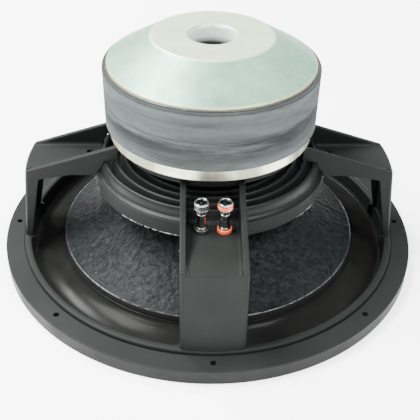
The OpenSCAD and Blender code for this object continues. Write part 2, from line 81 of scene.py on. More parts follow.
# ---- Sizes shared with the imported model, in millimetres ----

GLUE = 0.05          # clearance between pieces that are glued together

# The cone and its upright rim. The rim has an inward foot that the surround is glued to.
CONE_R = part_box("cone")[1][0] / MM
CONE_T = 1.6
CONE_SAG = 4.0
NECK_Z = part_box("cone")[1][2] / MM
RIM_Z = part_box("cone")[0][2] / MM
RIM_TOP = RIM_Z + 7.6
RIM_FOOT = 6.5
FORMER_OUT = 51.2

# The dust cap: a dome whose edge is glued to the cone's front face, over the coil's leads.
DOME_R = 70.0
DOME_RISE = 20.0
DOME_T = 1.2
DOME_GAP = 0.45

# The surround: a half roll between the cone's foot and a land in the step of the flange.
ROLL_OUT = 200.5
ROLL_DEPTH = 5.8
ROLL_T = 1.2
LAND_R = 213.5
LAND_Z = 4.35

# The spider: rolls of cloth between a collar on the former and the ring in the basket.
RING_R = 125.0
RING_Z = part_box("spider")[0][2] / MM
SPIDER_MID = 112.0
SPIDER_IN = 54.25
SPIDER_OUT = 120.0
SPIDER_EDGE = RING_R - 2.6
SPIDER_ROLLS = 6
SPIDER_WAVE = 5.0
SPIDER_T = 1.0

# The terminals stand in the trough of the front leg.
TROUGH_Z = 105.0
TERMINAL_Y = -131.5
TERMINAL_X = 11.0
BARREL_FLOOR = TROUGH_Z + 6

# The motor's levels: the front plate's lower face, the joint between the two ferrite rings, the yoke's
# foot on the rear one and its top; and the vent that runs through it.
PLATE_Z = 144.0
SEAM_Z = 187.5
YOKE_Z = 218.0
TOP_Z = cad_high[2] / MM
VENT_R = 23.5


def cone_share(r):
    """Share of the way from the cone's outer edge to the former."""
    return (CONE_R - r) / (CONE_R - FORMER_OUT)


def cone_z(r):
    """Height of the cone's rear face: a straight line from rim to neck, sagging by a parabola."""
    s = cone_share(r)
    return RIM_TOP + (NECK_Z - RIM_TOP) * s - 4 * CONE_SAG * s * (1 - s)


# ---- Mesh code ----

def smooth(t):
    """The curve 3t^2 - 2t^3, held at 0 and 1 outside its range."""
    t = np.clip(t, 0, 1)
    return t * t * (3 - 2 * t)


def lattice_noise(u, v, cells_u, cells_v, seed):
    """Random values on a lattice that is periodic in u, joined by smooth curves; the result is 0 to 1."""
    table = np.random.default_rng(seed).random((cells_u, cells_v + 2))
    x, y = np.asarray(u) * cells_u, np.clip(v, 0, 1) * cells_v
    i, j = np.floor(x).astype(int), np.floor(y).astype(int)
    fx, fy = smooth(x - i), smooth(y - j)
    a = table[i % cells_u, j] * (1 - fx) + table[(i + 1) % cells_u, j] * fx
    b = table[i % cells_u, j + 1] * (1 - fx) + table[(i + 1) % cells_u, j + 1] * fx
    return a * (1 - fy) + b * fy


def ridges(u, v, cells_u, cells_v, seed):
    """Lattice noise folded at its middle value, which gives sharp ridges at 1."""
    return 1 - np.abs(2 * lattice_noise(u, v, cells_u, cells_v, seed) - 1)


def surface(name, points, wrap=(True, True)):
    """One mesh of quads over a grid of points in millimetres, closed where wrap says so, with its open
    ends filled. Its UV runs 0 to 1 along each direction. Points that meet at a pole are merged, and the
    faces point outwards: they are turned round where the volume that they enclose is negative."""
    nu, nv = points.shape[:2]
    iu = np.arange(nu if wrap[0] else nu - 1)[:, None]
    iv = np.arange(nv if wrap[1] else nv - 1)[None, :]
    corners = [(iu, iv), (iu, iv + 1), (iu + 1, iv + 1), (iu + 1, iv)]
    faces = np.stack([(a % nu) * nv + b % nv for a, b in corners], -1).reshape(-1, 4)
    uv = np.stack([np.stack(np.broadcast_arrays(b / nv, a / nu), -1) for a, b in corners], -2)
    uv = uv.reshape(-1, 2)
    xyz = points.reshape(-1, 3) * MM
    p = xyz[faces]
    volume = np.sum(np.cross(p[:, 0], p[:, 1]) * p[:, 2])
    volume += np.sum(np.cross(p[:, 0], p[:, 2]) * p[:, 3])
    if volume < 0:
        faces = faces[:, ::-1]
        uv = uv.reshape(-1, 4, 2)[:, ::-1].reshape(-1, 2)
    mesh = bpy.data.meshes.new(name)
    mesh.vertices.add(len(xyz))
    mesh.vertices.foreach_set("co", xyz.ravel())
    mesh.loops.add(faces.size)
    mesh.loops.foreach_set("vertex_index", faces.ravel())
    mesh.polygons.add(len(faces))
    mesh.polygons.foreach_set("loop_start", np.arange(len(faces)) * 4)
    mesh.update(calc_edges=True)
    mesh.uv_layers.new(name="grid").data.foreach_set("uv", uv.ravel())
    work = bmesh.new()
    work.from_mesh(mesh)
    bmesh.ops.remove_doubles(work, verts=work.verts, dist=1e-7)
    for open_ring in bmesh.ops.holes_fill(work, edges=work.edges, sides=0)["faces"]:
        open_ring.smooth = True
    work.to_mesh(mesh)
    work.free()
    mesh.polygons.foreach_set("use_smooth", np.ones(len(mesh.polygons), bool))
    mesh.update()
    piece = bpy.data.objects.new(name, mesh)
    bpy.context.scene.collection.objects.link(piece)
    return piece


def revolve(profile, count, shift=(0, 0)):
    """Grid of a profile of (radius, height) carried round the Z axis, or round an upright line at shift."""
    angle = np.arange(count) / count * TURN
    r, z = profile[:, 0][:, None], profile[:, 1][:, None]
    return np.stack([r * np.cos(angle) + shift[0], r * np.sin(angle) + shift[1], z + 0 * angle], -1)


def smooth_line(points, steps):
    """Catmull-Rom curve through the points, with a number of steps between each pair: a cubic whose slope
    at each point is half the way from the point before to the point after."""
    p = np.asarray(points, float)
    p = np.vstack([2 * p[0] - p[1], p, 2 * p[-1] - p[-2]])
    t = (np.arange(steps) / steps)[None, :, None]
    a, b, c, d = (p[k:len(p) - 3 + k][:, None] for k in range(4))
    square = (2 * a - 5 * b + 4 * c - d) * t ** 2
    cube = (3 * b - a - 3 * c + d) * t ** 3
    curve = 0.5 * (2 * b + (c - a) * t + square + cube)
    return np.vstack([curve.reshape(-1, p.shape[1]), p[-2]])


def tube(path, radius, sides, side=(1.0, 0.0, 0.0)):
    """Grid of circles along a path, each square to it. The radius is one value for all of the points, or
    one for each."""
    along = np.gradient(path, axis=0)
    along /= np.linalg.norm(along, axis=1)[:, None]
    u = np.cross(along, side)
    u /= np.linalg.norm(u, axis=1)[:, None]
    v = np.cross(along, u)
    angle = np.arange(sides) / sides * TURN
    ring = u[:, None] * np.cos(angle)[None, :, None] + v[:, None] * np.sin(angle)[None, :, None]
    radius = np.broadcast_to(radius, (len(path), sides))
    return path[:, None] + ring * radius[..., None]


def bead(name, r, z, low, high, cells, seed, patchy=0.0, count=720, sides=8):
    """An uneven ring of glue: a torus whose thickness wanders between low and high with lattice noise.
    Where patchy is above 0, it stays thin except in patches that cover about that share of the ring."""
    u = np.arange(count) / count
    thick = low + (high - low) * ridges(u, 0 * u + 0.5, cells, 1, seed) ** 2
    thick *= 0.8 + 0.4 * lattice_noise(u, 0 * u + 0.5, cells * 3, 1, seed + 1)
    if patchy:
        patches = lattice_noise(u, 0 * u + 0.5, 17, 1, seed + 2)
        thick = low + (thick - low) * smooth((patches - 1 + patchy) * 6)
    angle = np.arange(sides) / sides * TURN
    reach = r + thick * np.cos(angle)[:, None]
    height = z + thick * np.sin(angle)[:, None]
    grid = np.stack([reach * np.cos(u * TURN), reach * np.sin(u * TURN), height], -1)
    return surface(name, grid)


def places(piece):
    """The piece's points in millimetres."""
    flat = np.empty(len(piece.data.vertices) * 3)
    piece.data.vertices.foreach_get("co", flat)
    return flat.reshape(-1, 3) / MM


def follow_inwards(piece):
    """Reads a ring's points in millimetres, and does not move them."""
    at = places(piece)


# ---- Material code ----

def add(tree, kind, sockets=(), **settings):
    """Adds a shader node; each socket takes a value or a link."""
    made = tree.nodes.new("ShaderNode" + kind)
    for key, value in settings.items():
        setattr(made, key, value)
    for key, value in dict(sockets).items():
        if isinstance(value, bpy.types.NodeSocket):
            tree.links.new(value, made.inputs[key])
        else:
            made.inputs[key].default_value = value
    return made


class Finish:
    """A material with one Principled shader, and short ways to add noise, colour and bump to it."""

    def __init__(self, name, **fixed):
        self.material = bpy.data.materials.new(name)
        self.material.use_nodes = True
        self.tree = self.material.node_tree
        self.shader = self.tree.nodes["Principled BSDF"]
        for key, value in fixed.items():
            self.shader.inputs[key.replace("_", " ")].default_value = value
        self.place = add(self.tree, "TexCoord").outputs["Object"]
        self.normal = None

    def stretched(self, scale):
        """The place on the object, scaled along each axis."""
        return add(self.tree, "Mapping", {"Vector": self.place, "Scale": scale}).outputs[0]

    def noise(self, size_mm, detail=3, rough=0.55, warp=0.0, place=None):
        """Noise whose features are about size_mm across."""
        noise = {"Vector": place or self.place, "Scale": 1000 / size_mm, "Detail": detail,
                 "Roughness": rough, "Distortion": warp}
        return add(self.tree, "TexNoise", noise).outputs[0]

    def bands(self, period_mm, axis="Z", kind="BANDS", warp=0.0):
        """Sine bands of a given period. The wave's own period is TURN / 20 metres at a scale of 1."""
        extra = {"bands_direction": axis} if kind == "BANDS" else {"rings_direction": axis}
        wave = {"Vector": self.place, "Scale": 50 * TURN / period_mm, "Distortion": warp, "Detail": 1.0}
        return add(self.tree, "TexWave", wave, wave_type=kind, **extra).outputs["Fac"]

    def math(self, operation, a, b=0.0):
        """One sum of two values."""
        return add(self.tree, "Math", {0: a, 1: b}, operation=operation).outputs[0]

    def spread(self, value, low, high, start=0.0, end=1.0):
        """Moves a value from the range start to end into low to high."""
        return add(self.tree, "MapRange", {"Value": value, "From Min": start, "From Max": end,
                                           "To Min": low, "To Max": high}).outputs[0]

    def axis(self, letter):
        """One coordinate of the place on the object, in metres."""
        return add(self.tree, "SeparateXYZ", {0: self.place}).outputs[letter]

    def radius(self):
        """Distance from the Z axis, in metres."""
        flat = add(self.tree, "VectorMath", {0: self.place, 1: (1, 1, 0)}, operation="MULTIPLY").outputs[0]
        return add(self.tree, "VectorMath", {0: flat}, operation="LENGTH").outputs["Value"]

    def ramp(self, value, *stops):
        """Colour ramp of (position, colour) stops."""
        made = add(self.tree, "ValToRGB", {0: value})
        line = made.color_ramp
        while len(line.elements) < len(stops):
            line.elements.new(0.5)
        for element, (position, colour) in zip(line.elements, stops):
            element.position = position
            element.color = (*colour, 1) if len(colour) == 3 else colour
        return made.outputs["Color"]

    def mask(self, value, start, end):
        """0 below start and 1 above end, or the other way round where start is the larger."""
        return self.spread(value, 0.0, 1.0, start, end)

    def edge(self, metres, start_mm, end_mm):
        """A mask over a place, with its ends in millimetres."""
        return self.mask(metres, start_mm * MM, end_mm * MM)

    def mix(self, amount, under, over, cover=None):
        """Colour under, with colour over laid on by amount, which cover scales down."""
        if cover:
            amount = self.math("MULTIPLY", amount, cover)
        made = add(self.tree, "Mix", {0: amount}, data_type="RGBA")
        for index, value in ((6, under), (7, over)):
            if isinstance(value, bpy.types.NodeSocket):
                self.tree.links.new(value, made.inputs[index])
            else:
                made.inputs[index].default_value = (*value, 1)
        return made.outputs[2]

    def bump(self, height, depth_mm):
        """Adds a relief to those already there."""
        sockets = {"Height": height, "Distance": depth_mm * MM, "Strength": 1.0}
        if self.normal:
            sockets["Normal"] = self.normal
        self.normal = add(self.tree, "Bump", sockets).outputs[0]

    def done(self, colour, roughness):
        """Joins up the shader and returns the material."""
        self.tree.links.new(colour, self.shader.inputs["Base Color"])
        self.tree.links.new(roughness, self.shader.inputs["Roughness"])
        if self.normal:
            self.tree.links.new(self.normal, self.shader.inputs["Normal"])
        return self.material


def mottled(name, dark, light, patch_mm, rough, grain_mm, depth_mm, specks=None, **fixed):
    """A finish mottled between two colours in patches, with uneven roughness and a fine grain. Specks,
    where there are any, are given by their size, the noise level that they start at, and their colour."""
    f = Finish(name, **fixed)
    colour = f.ramp(f.noise(patch_mm, 5), (0.3, dark), (0.7, light))
    if specks:
        speck_mm, level, tone = specks
        colour = f.mix(f.mask(f.noise(speck_mm, 2), level, level + 0.04), colour, tone)
    f.bump(f.noise(grain_mm, 3), depth_mm)
    return f.done(colour, f.spread(f.noise(patch_mm * 0.6, 4), rough[0], rough[1], 0.3, 0.7))


def black_casting():
    """Satin black paint over a cast surface: fine grain, slow waves, dust and faint handling marks."""
    f = Finish("black_casting", Specular_IOR_Level=0.07)
    colour = f.ramp(f.noise(60, 4), (0.3, (0.0082, 0.0096, 0.009)), (0.7, (0.011, 0.0125, 0.0116)))
    marks = f.mask(f.noise(9, 6, 0.7, 0.6), 0.6, 0.78)
    colour = f.mix(marks, colour, (0.02, 0.0205, 0.02), 0.35)
    dust = f.mask(f.noise(1.6, 2), 0.74, 0.8)
    colour = f.mix(dust, colour, (0.05, 0.05, 0.047), 0.5)
    f.bump(f.noise(14, 2), 0.12)
    f.bump(f.noise(0.9, 2), 0.035)
    return f.done(colour, f.spread(f.noise(22, 5), 0.42, 0.56, 0.3, 0.7))


def surround_rubber():
    """Black-brown rubber with a satin skin, slow waves and a little dust."""
    f = Finish("surround_rubber", Specular_IOR_Level=0.025)
    colour = f.ramp(f.noise(25, 4), (0.3, (0.0062, 0.0066, 0.0061)), (0.7, (0.009, 0.0093, 0.0086)))
    dust = f.mask(f.noise(1.4, 2), 0.73, 0.8)
    colour = f.mix(dust, colour, (0.04, 0.038, 0.035), 0.35)
    f.bump(f.noise(9, 2), 0.02)
    f.bump(f.noise(0.6, 2), 0.006)
    return f.done(colour, f.spread(f.noise(16, 4), 0.17, 0.23, 0.3, 0.7))


def cone_paper():
    """Coated pulp: blue-grey black, with short fibres pressed in every direction, pale flecks, a duller
    rim, a thin lacquer, and painted shade that darkens the hollows of its lumps."""
    f = Finish("cone_paper", Coat_Weight=0.015, Coat_Roughness=0.2, Specular_IOR_Level=0.08)
    lumps_and_painted_shade = f.noise(6, 6, 0.7, 0.5)
    # The colour ramp over the lumps darkens their low parts, where the bump makes hollows: painted shade.
    colour = f.ramp(lumps_and_painted_shade, (0.4, (0.0034, 0.004, 0.0039)), (0.62, (0.0104, 0.0124, 0.0127)))
    fibre = f.noise(2.4, 4, 0.8, 1.0)
    colour = f.mix(f.mask(fibre, 0.56, 0.68), colour, (0.03, 0.0345, 0.0375), 0.7)
    flecks = f.mask(f.noise(2.6, 3, 0.7), 0.65, 0.69)
    colour = f.mix(flecks, colour, (0.07, 0.078, 0.083), 0.6)
    colour = f.mix(f.edge(f.radius(), CONE_R - 1.1, CONE_R - 0.5), colour, (0.016, 0.0165, 0.016))
    f.bump(lumps_and_painted_shade, 0.7)
    f.bump(fibre, 0.5)
    f.bump(f.noise(0.8, 3), 0.08)
    return f.done(colour, f.spread(fibre, 0.45, 0.65, 0.35, 0.65))


def spider_cloth():
    """Square weave of black cotton stiffened with resin: threads over and under each other every 1.3 mm."""
    f = Finish("spider_cloth", Sheen_Weight=0.02, Sheen_Roughness=0.5, Specular_IOR_Level=0.14)
    warp, weft = f.bands(1.3, "X"), f.bands(1.3, "Y")
    weave = f.math("MULTIPLY", warp, weft)
    base = f.ramp(f.noise(30, 4), (0.3, (0.0033, 0.0037, 0.0038)), (0.7, (0.0054, 0.0059, 0.006)))
    colour = f.mix(weave, base, (0.011, 0.012, 0.0122), 0.5)
    f.bump(weave, 0.1)
    f.bump(f.noise(10, 3), 0.02)
    return f.done(colour, f.spread(f.noise(6, 3), 0.28, 0.42, 0.3, 0.7))


def ferrite():
    """Ground grey ferrite: level grinding streaks and scratches, cloudy patches, a dark smear below the
    joint of the two rings, painted shade along its top edge and small chips."""
    f = Finish("ferrite", Specular_IOR_Level=0.02)
    z = f.axis("Z")
    streaks = f.noise(14, 6, 0.6, 0.4, place=f.stretched((0.16, 0.16, 1)))
    colour = f.ramp(streaks, (0.28, (0.034, 0.04, 0.039)), (0.5, (0.064, 0.074, 0.073)),
                    (0.74, (0.105, 0.119, 0.117)))
    patch = f.mask(f.noise(55, 4, 0.6, place=f.stretched((0.7, 0.7, 1))), 0.42, 0.62)
    colour = f.mix(patch, colour, (0.05, 0.057, 0.055), 0.35)
    wander = f.spread(f.noise(26, 3, place=f.stretched((0.5, 0.5, 1))), -6 * MM, 6 * MM)
    low = f.math("ADD", z, wander)
    rises, falls = f.edge(low, SEAM_Z - 24.5, SEAM_Z - 9.5), f.edge(low, SEAM_Z + 3.5, SEAM_Z - 1)
    drawn_out = f.noise(11, 5, 0.7, place=f.stretched((0.09, 0.09, 1)))
    smear = f.math("MULTIPLY", f.math("MULTIPLY", rises, falls), f.mask(drawn_out, 0.38, 0.56))
    colour = f.mix(smear, colour, (0.014, 0.016, 0.016), 0.8)
    seam = f.edge(f.math("ABSOLUTE", f.math("SUBTRACT", z, SEAM_Z * MM)), 1.6, 1.0)
    colour = f.mix(seam, colour, (0.05, 0.055, 0.054), 0.5)
    # The top few millimetres of the rings, with an uneven lower edge, are painted darker: painted shade.
    uneven = f.math("ADD", z, f.spread(f.noise(9, 3), -1 * MM, 1 * MM))
    top = f.edge(uneven, YOKE_Z - 3.5, YOKE_Z - 1.5)
    colour = f.mix(top, colour, (0.02, 0.021, 0.021), 0.7)
    scratch = f.mask(f.noise(5, 6, 0.75, place=f.stretched((0.05, 0.05, 1))), 0.6, 0.72)
    colour = f.mix(scratch, colour, (0.11, 0.117, 0.116), 0.3)
    chips = f.mask(f.noise(3.2, 2), 0.76, 0.8)
    colour = f.mix(chips, colour, (0.02, 0.021, 0.021))
    f.bump(streaks, 0.08)
    f.bump(f.noise(1.2, 3), 0.03)
    return f.done(colour, f.spread(streaks, 0.7, 0.88, 0.3, 0.7))


def zinc_yoke():
    """Pale satin zinc: turning rings too fine to count, small dark pits and a warmer tone on rim and flat
    top, the flat top also much lighter as painted light from above, and a vent wall painted near-white at
    its mouth as a painted highlight and near-black further in as painted shade."""
    f = Finish("zinc_yoke", Metallic=0.5, Specular_IOR_Level=0.4)
    r, z = f.radius(), f.axis("Z")
    colour = f.ramp(f.noise(45, 5, 0.6), (0.3, (0.13, 0.26, 0.18)), (0.7, (0.225, 0.385, 0.29)))
    colour = f.mix(f.mask(f.noise(7, 5, 0.7), 0.5, 0.75), colour, (0.36, 0.5, 0.42), 0.25)
    # Flat top: a warmer tone, and much lighter than the sides as painted light from above.
    colour = f.mix(f.edge(z, TOP_Z - 1.5, TOP_Z - 0.5), colour, (0.62, 0.7, 0.48), 0.7)
    colour = f.mix(f.edge(z, YOKE_Z + 4.2, YOKE_Z + 3.6), colour, (0.42, 0.42, 0.22), 0.6)
    # Vent wall: a near-white painted highlight near the mouth, then near-black painted shade deeper in.
    inside = f.edge(r, VENT_R + 0.7, VENT_R + 0.1)
    colour = f.mix(inside, colour, (0.93, 0.96, 0.93))
    depth = f.math("MULTIPLY", inside, f.edge(z, TOP_Z - 11.5, TOP_Z - 18.5))
    colour = f.mix(depth, colour, (0.006, 0.007, 0.006), 0.97)
    pits = f.mask(f.noise(2.1, 2), 0.7, 0.74)
    colour = f.mix(pits, colour, (0.07, 0.075, 0.07))
    f.bump(f.bands(0.8, "Z", "RINGS"), 0.012)
    f.bump(f.noise(1.4, 3), 0.03)
    return f.done(colour, f.spread(f.noise(18, 5), 0.36, 0.5, 0.3, 0.7))


def zinc_plate():
    """Bright yellowish zinc on the front plate, with level marks, dark patches painted in as painted
    reflection of a darker surrounding, and a brown line along its lower edge."""
    f = Finish("zinc_plate", Metallic=0.9)
    z = f.axis("Z")
    marks = f.noise(9, 5, 0.6, place=f.stretched((0.12, 0.12, 1)))
    colour = f.ramp(marks, (0.3, (0.56, 0.58, 0.42)), (0.7, (0.84, 0.85, 0.72)))
    # Dark patches round the plate stand in for darker reflections: painted reflection.
    painted_dark_reflection = f.mask(f.noise(48, 3, 0.5, place=f.stretched((1, 1, 0.3))), 0.44, 0.6)
    colour = f.mix(painted_dark_reflection, colour, (0.1, 0.115, 0.08), 0.8)
    uneven = f.math("ADD", z, f.spread(f.noise(6, 3), -0.5 * MM, 0.5 * MM))
    stain = f.edge(uneven, PLATE_Z + 1.4, PLATE_Z + 0.8)
    colour = f.mix(stain, colour, (0.16, 0.12, 0.07), 0.7)
    f.bump(marks, 0.03)
    return f.done(colour, f.spread(f.noise(15, 4), 0.26, 0.42, 0.3, 0.7))


def push_chrome():
    """Chrome with a smoked dish and a dark plunger: the two ends of the outline, read from the piece's own
    UV, are nearly black."""
    f = Finish("push_chrome", Metallic=1.0)
    uv = add(f.tree, "UVMap", uv_map="grid").outputs[0]
    along = add(f.tree, "SeparateXYZ", {0: uv}).outputs["Y"]
    colour = f.ramp(f.noise(4, 4), (0.3, (0.16, 0.165, 0.175)), (0.7, (0.34, 0.345, 0.36)))
    colour = f.mix(f.mask(along, 0.735, 0.745), colour, (0.035, 0.036, 0.038))
    colour = f.mix(f.mask(along, 0.3, 0.29), colour, (0.05, 0.05, 0.048))
    f.bump(f.noise(0.5, 3), 0.01)
    return f.done(colour, f.spread(f.noise(3, 3), 0.08, 0.2, 0.3, 0.7))


def braid():
    """Tinned copper braid over thread: two sets of strands that cross, drawn on the tube's own UV."""
    f = Finish("braid", Metallic=0.6)
    uv = add(f.tree, "UVMap", uv_map="grid").outputs[0]
    one = add(f.tree, "Mapping", {"Vector": uv, "Rotation": (0, 0, 0.7), "Scale": (5, 60, 1)}).outputs[0]
    two = add(f.tree, "Mapping", {"Vector": uv, "Rotation": (0, 0, -0.7), "Scale": (5, 60, 1)}).outputs[0]
    strands = [add(f.tree, "TexWave", {"Vector": way, "Scale": 0.5}).outputs["Fac"] for way in (one, two)]
    cross = f.math("MAXIMUM", *strands)
    colour = f.ramp(cross, (0.2, (0.12, 0.06, 0.03)), (0.9, (0.62, 0.4, 0.24)))
    f.bump(cross, 0.15)
    return f.done(colour, f.spread(f.noise(2, 2), 0.3, 0.5))


finishes = {
    "black_casting": black_casting(),
    "rubber": surround_rubber(),
    "paper_cone": cone_paper(),
    "spider_cloth": spider_cloth(),
    "ferrite": ferrite(),
    "zinc_yoke": zinc_yoke(),
    "zinc_plate": zinc_plate(),
    "braid": braid(),
    "push_chrome": push_chrome(),
    "gasket_foam": mottled("gasket_foam", (0.012, 0.012, 0.012), (0.024, 0.024, 0.024), 12, (0.8, 0.95),
                           0.9, 0.18),
    "dust_cap_paper": mottled("dust_cap_paper", (0.016, 0.016, 0.018), (0.032, 0.032, 0.034), 9, (0.42, 0.6),
                              0.9, 0.09, (1.3, 0.72, (0.08, 0.08, 0.08)), Coat_Weight=0.15),
    "tinned_brass": mottled("tinned_brass", (0.62, 0.6, 0.54), (0.86, 0.85, 0.8), 3, (0.22, 0.42), 0.5, 0.03,
                            Metallic=1.0),
    "former_film": mottled("former_film", (0.2, 0.09, 0.02), (0.36, 0.18, 0.05), 10, (0.25, 0.4), 1.2, 0.02),
    "copper_wire": mottled("copper_wire", (0.5, 0.18, 0.07), (0.78, 0.36, 0.16), 4, (0.22, 0.38), 0.4, 0.05,
                           Metallic=0.9),
    "copper_sleeve": mottled("copper_sleeve", (0.55, 0.26, 0.15), (0.78, 0.42, 0.27), 7, (0.25, 0.45),
                             0.6, 0.02, Metallic=1.0),
    "bare_aluminium": mottled("bare_aluminium", (0.66, 0.67, 0.67), (0.86, 0.87, 0.87), 6, (0.2, 0.42),
                              0.5, 0.04, Metallic=1.0),
    "worn_edge": mottled("worn_edge", (0.02, 0.02, 0.019), (0.42, 0.4, 0.37), 2.2, (0.25, 0.5), 0.8, 0.1,
                         Metallic=0.5),
    "screen_mesh": mottled("screen_mesh", (0.02, 0.02, 0.02), (0.04, 0.04, 0.04), 5, (0.4, 0.6), 0.5, 0.02),
    "black_steel": mottled("black_steel", (0.025, 0.025, 0.027), (0.06, 0.06, 0.062), 4, (0.3, 0.5),
                           0.4, 0.02, Metallic=0.5),
    "red_plastic": mottled("red_plastic", (0.72, 0.085, 0.03), (0.9, 0.13, 0.05), 5, (0.18, 0.32),
                           0.6, 0.02, Coat_Weight=0.3),
    "black_plastic": mottled("black_plastic", (0.012, 0.012, 0.013), (0.025, 0.025, 0.026), 5, (0.2, 0.36),
                             0.6, 0.02, Coat_Weight=0.2),
    "dark_chrome": mottled("dark_chrome", (0.34, 0.33, 0.31), (0.5, 0.49, 0.46), 4, (0.1, 0.22), 0.5, 0.01,
                           Metallic=1.0),
    "bright_chrome": mottled("bright_chrome", (0.7, 0.7, 0.69), (0.86, 0.86, 0.85), 4, (0.05, 0.16),
                             0.5, 0.01, Metallic=1.0),
    "spring_steel": mottled("spring_steel", (0.42, 0.42, 0.41), (0.62, 0.62, 0.6), 3, (0.2, 0.36), 0.4, 0.02,
                            Metallic=1.0),
    "fibre_board": mottled("fibre_board", (0.26, 0.2, 0.12), (0.42, 0.34, 0.22), 3, (0.6, 0.8), 0.7, 0.06),
    "dark_glue": mottled("dark_glue", (0.012, 0.011, 0.01), (0.03, 0.028, 0.025), 4, (0.3, 0.5), 1.5, 0.1,
                         Coat_Weight=0.1),
    "edge_lacquer": mottled("edge_lacquer", (0.008, 0.009, 0.0095), (0.085, 0.09, 0.093), 1.6, (0.2, 0.4),
                            1.3, 0.26, Coat_Weight=0.25),
}

for subpart in frame["record"]["subparts"]:
    mesh = nodes[subpart["node"]].data
    mesh.materials.clear()
    mesh.materials.append(finishes[subpart["material_slot"]])


def finish(piece, slot, look=None):
    """Gives a new piece the finish named by look, and where there is none, the one named by slot."""
    piece.data.materials.clear()
    piece.data.materials.append(finishes[look or slot])
    return piece


# ---- Camera ----

CAMERA_AT = Vector((-0.0241, -0.6779, 0.5299))
CAMERA_TO = Vector((0.0, 0.0, 0.0189))
CAMERA_ROLL = math.radians(1.322)
CAMERA_LENS = 62.34
CAMERA_SHIFT = (0.0041, 0.0232)


def add_camera():
    """A camera behind and above the speaker, looking at its axis and rolled a little."""
    ahead = (CAMERA_TO - CAMERA_AT).normalized()
    right = ahead.cross(Vector((0, 0, 1))).normalized()
    up = right.cross(ahead)
    c, s = math.cos(CAMERA_ROLL), math.sin(CAMERA_ROLL)
    data = bpy.data.cameras.new("camera")
    data.sensor_width = 36
    data.lens = CAMERA_LENS
    data.shift_x, data.shift_y = CAMERA_SHIFT
    camera = bpy.data.objects.new("camera", data)
    turned = Matrix((right * c + up * s, up * c - right * s, -ahead))
    camera.matrix_world = turned.transposed().to_4x4()
    camera.matrix_world.translation = CAMERA_AT
    bpy.context.scene.collection.objects.link(camera)
    bpy.context.scene.camera = camera


add_camera()

# ---- Cone, dust cap, surround and spider ----

CONE_AROUND = 600

# Folds in the paper: depth in millimetres, lattice cells across 400 mm, and how sharp a fold is.
FOLDS = ((0.4, 46, 2), (0.75, 84, 2.5), (0.65, 130, 2), (0.45, 200, 1))


def paper_cone():
    """A flared shell carried round the axis. Its rear face is pushed in and out by folded noise on a flat
    lattice, which crumples it in every direction at four sizes, and by a few straight creases that run
    outwards. Its front face follows at a third of that, and its rim at an eighth."""
    r_in, r_rim = FORMER_OUT + GLUE, CONE_R - 0.7
    rear_r = np.linspace(r_in, r_rim, 108)
    front_r = np.linspace(CONE_R - 1.8, r_in, 24)
    rear = np.stack([rear_r, cone_z(rear_r)], -1)
    front = np.stack([front_r, cone_z(front_r) - CONE_T], -1)
    foot_r, foot_top = CONE_R - RIM_FOOT, RIM_Z + CONE_T
    rim = np.array([
        [CONE_R - 0.2, RIM_TOP - 0.25], [CONE_R, RIM_TOP - 0.8], [CONE_R, RIM_TOP - 2.6],
        [CONE_R, RIM_TOP - 4.4], [CONE_R, RIM_Z + 0.9], [CONE_R - 0.25, RIM_Z + 0.15], [CONE_R - 0.8, RIM_Z],
        [foot_r + 0.6, RIM_Z], [foot_r, RIM_Z + 0.3], [foot_r, foot_top - 0.3], [foot_r + 0.5, foot_top],
        [CONE_R - 2.4, foot_top], [CONE_R - 1.9, foot_top + 0.5]])
    grid = revolve(np.vstack([rear, rim, front]), CONE_AROUND)
    share = cone_share(np.concatenate([rear_r, rim[:, 0], front_r]))[:, None]
    turn = np.arange(CONE_AROUND)[None, :] / CONE_AROUND
    x, y = grid[..., 0] / 400 + 0.5, grid[..., 1] / 400 + 0.5
    x = x + 0.008 * (lattice_noise(x, y, 50, 50, 3) - 0.5)
    crumple = sum(depth * ridges(x, y, cells, cells, cells) ** sharp for depth, cells, sharp in FOLDS)
    swell = lattice_noise(x, y, 30, 30, 13)
    rare = smooth((lattice_noise(turn, share, 22, 3, 17) - 0.58) * 8)
    creases = smooth((ridges(turn + 0.01 * share, share, 60, 2, 11) - 0.82) * 5.5) * rare
    push = 0.9 + 0.7 * (swell - 0.5) - crumple - 1.8 * creases
    amount = np.concatenate([smooth((rear_r - r_in) / 6) * smooth((CONE_R - rear_r) / 5),
                             np.full(len(rim), 0.0), 0.3 * smooth((front_r - r_in) / 6)])[:, None]
    upright = 4
    amount[len(rear_r):len(rear_r) + upright] = 0.12
    out = grid[..., :2] / np.linalg.norm(grid[..., :2], axis=-1)[..., None]
    grid[..., :2] += out * (push * amount * 0.5)[..., None]
    grid[..., 2] += push * amount * 0.86
    piece = finish(surface("paper_cone", grid), "paper_cone")
    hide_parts("cone")
    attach(piece, "cone_assembly")


def dust_cap():
    """A shallow dome of pressed paper: two arcs of a sphere, a wall apart, carried round the axis, with
    slow dents of a tenth of a millimetre."""
    around, steps = 180, 60
    sphere = (DOME_R ** 2 + DOME_RISE ** 2) / (2 * DOME_RISE)
    half = math.asin(DOME_R / sphere)
    seat = cone_z(DOME_R - DOME_T * math.sin(half)) - CONE_T - DOME_GAP - DOME_T * math.cos(half)
    centre = seat + sphere - DOME_RISE
    out = np.linspace(0, half, steps)
    back = out[::-1]
    outer = np.stack([sphere * np.sin(out), centre - sphere * np.cos(out)], -1)
    inner = np.stack([(sphere - DOME_T) * np.sin(back), centre - (sphere - DOME_T) * np.cos(back)], -1)
    grid = revolve(np.vstack([outer, inner]), around)
    turn = np.arange(around)[None, :] / around
    share = np.concatenate([np.linspace(0, 1, steps), np.linspace(1, 0, steps)])[:, None]
    dents = 0.3 * (lattice_noise(turn, share, 12, 6, 21) - 0.5)
    grid[..., 2] += dents * smooth(share * 8) * smooth((1 - share) * 8)
    piece = finish(surface("dome", grid, wrap=(False, True)), "dust_cap_paper")
    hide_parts("dust_cap")
    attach(piece, "cone_assembly")


